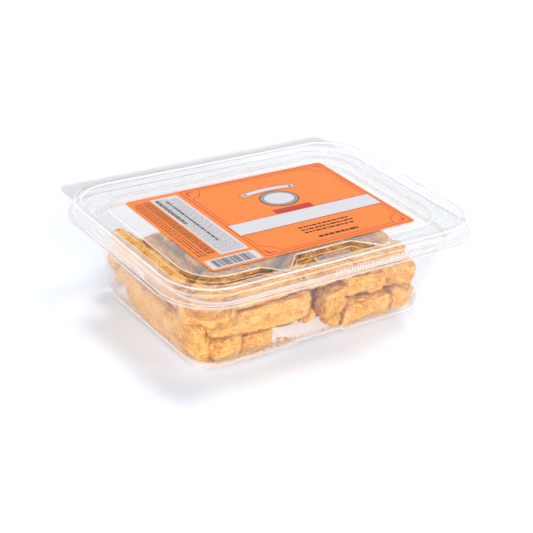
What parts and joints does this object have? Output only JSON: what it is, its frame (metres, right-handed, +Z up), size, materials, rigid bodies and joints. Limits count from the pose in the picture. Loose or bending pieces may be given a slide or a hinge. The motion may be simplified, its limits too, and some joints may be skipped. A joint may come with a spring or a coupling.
{
  "type": "clear tub of cheese straws",
  "caption": "Shut clear plastic tub of ridged cheese straws, with a lid hinged along its back strip, a finger notch and a printed paper label.",
  "frame": {"origin": "centre of the whole box at the height of the feet, with the back strip counted in the box", "axes": "+X along the tub's length, -Y to the front with the finger notch, +Y to the hinge strip, +Z up"},
  "size_m": [0.182, 0.139, 0.0542],
  "materials": {
    "tub_plastic": "clear thermoformed PET, glossy",
    "lid_plastic": "clear thermoformed PET, glossy",
    "label_paper": "semi-gloss printed paper, orange with a white band",
    "cheese_dough": "baked cheese dough, matt and crumbly, golden orange"
  },
  "bodies": {
    "tub": {"tub": "tub_plastic", "cheese_straws": "cheese_dough"},
    "lid": {"lid": "lid_plastic", "label": "label_paper"}
  },
  "joints": [
    {"name": "lid_hinge", "type": "hinge", "parent": "tub", "child": "lid", "pos_m": [0, 0.0696, 0.05055], "axis": [-1, 0, 0], "range_deg": [0, 180]}
  ]
}
